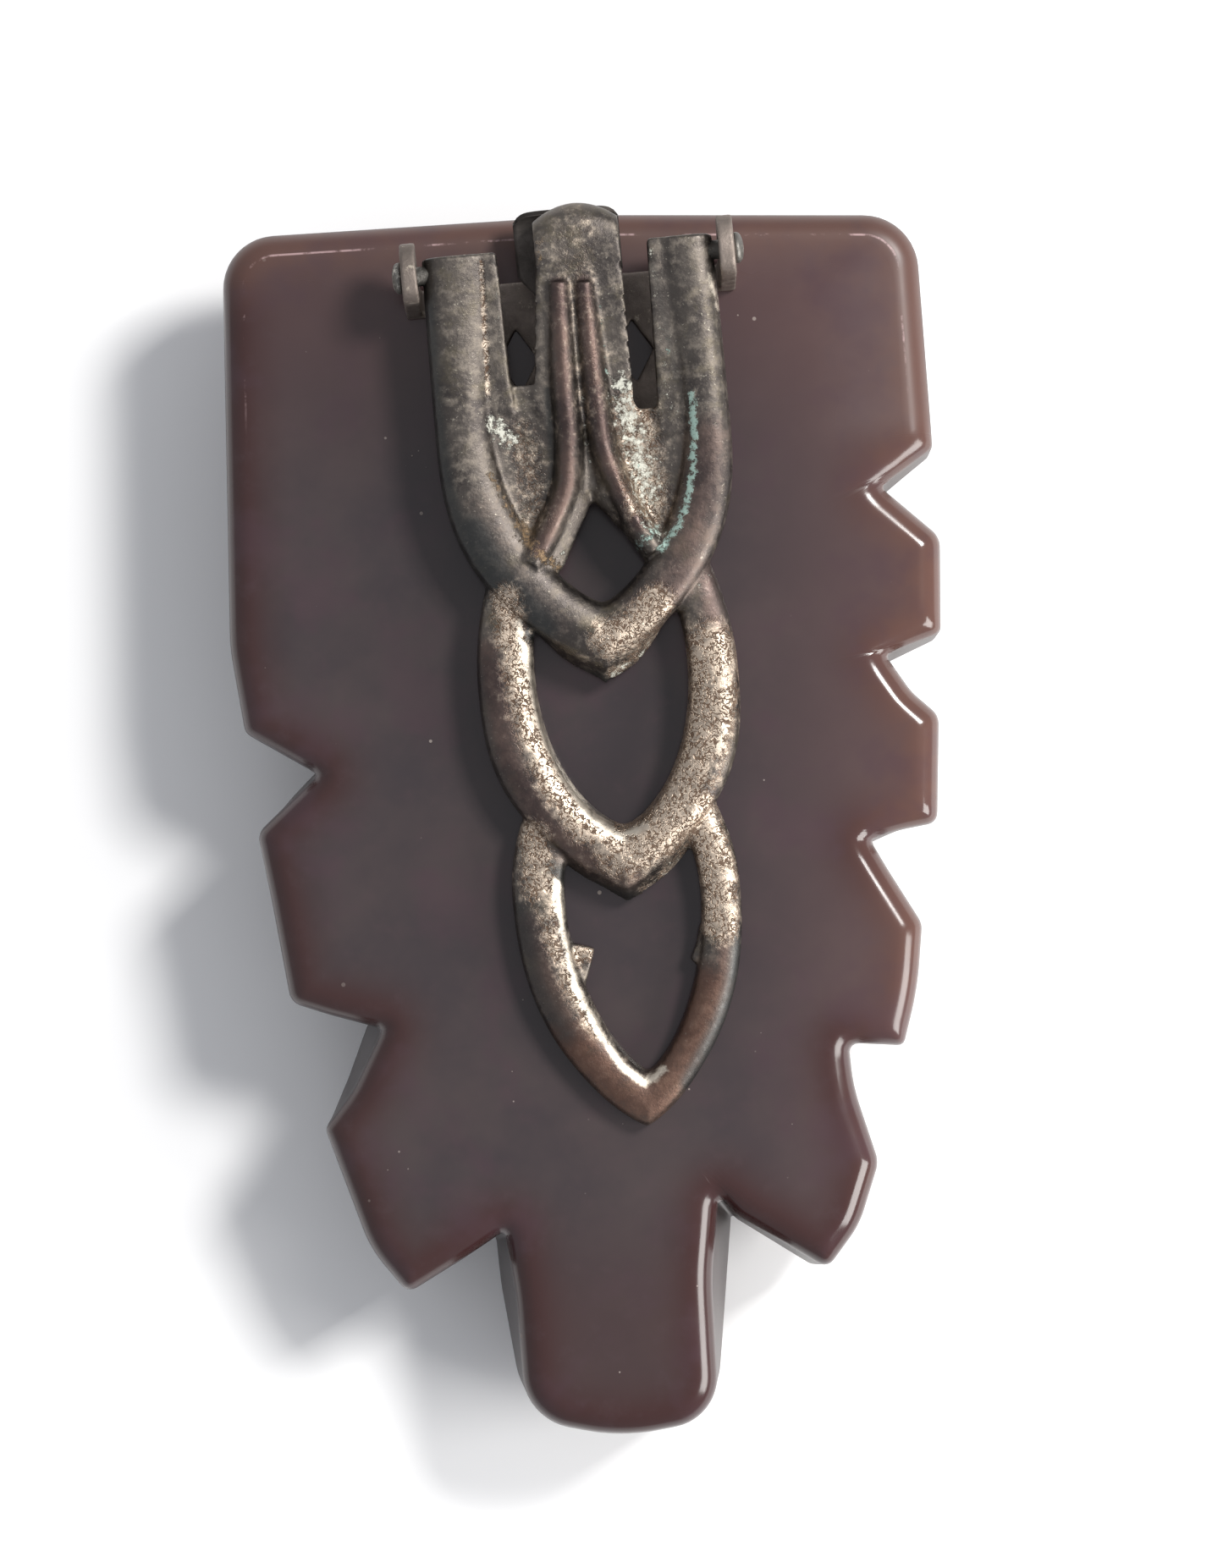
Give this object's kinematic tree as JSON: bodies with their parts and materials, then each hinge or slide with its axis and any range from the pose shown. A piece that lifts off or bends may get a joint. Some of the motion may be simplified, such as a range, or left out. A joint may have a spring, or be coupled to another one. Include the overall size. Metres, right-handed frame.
{
  "type": "dress clip brooch",
  "caption": "Flat-backed carved resin ornament with a leaf-like notched outline and a hinged, sprung openwork metal clip on its back.",
  "frame": {"origin": "middle of the small flat crest of the domed, carved front, on which the ornament rests face down", "axes": "+Z out of the flat back, through the finding; +Y up the ornament towards the hinge end; +X to the right when the back is seen"},
  "size_m": [0.0293, 0.0505, 0.0131],
  "materials": {
    "resin": "polished dark brown phenolic resin with a translucent red edge",
    "plated_lever": "worn, pitted nickel plating over copper-coloured metal",
    "plate_brass": "dull tarnished plate",
    "spring_metal": "dark tarnished spring strip",
    "rivet_brass": "worn plated rivets",
    "pin_brass": "small dull brass pins"
  },
  "bodies": {
    "ornament": {"resin_ornament": "resin", "base_plate": "plate_brass", "leaf_spring": "spring_metal", "pivot_rivets": "rivet_brass", "plate_pins": "pin_brass"},
    "lever": {"clip_lever": "plated_lever"}
  },
  "joints": [
    {"name": "lever_hinge", "type": "hinge", "parent": "ornament", "child": "lever", "pos_m": [-0.0002, 0.0229, 0.012], "axis": [-0.9988, -0.0489, 0], "range_deg": [0, 95], "stiffness_Nm_per_rad": 0.02, "springref_deg": -11.46, "deforming": ["leaf_spring"]}
  ]
}
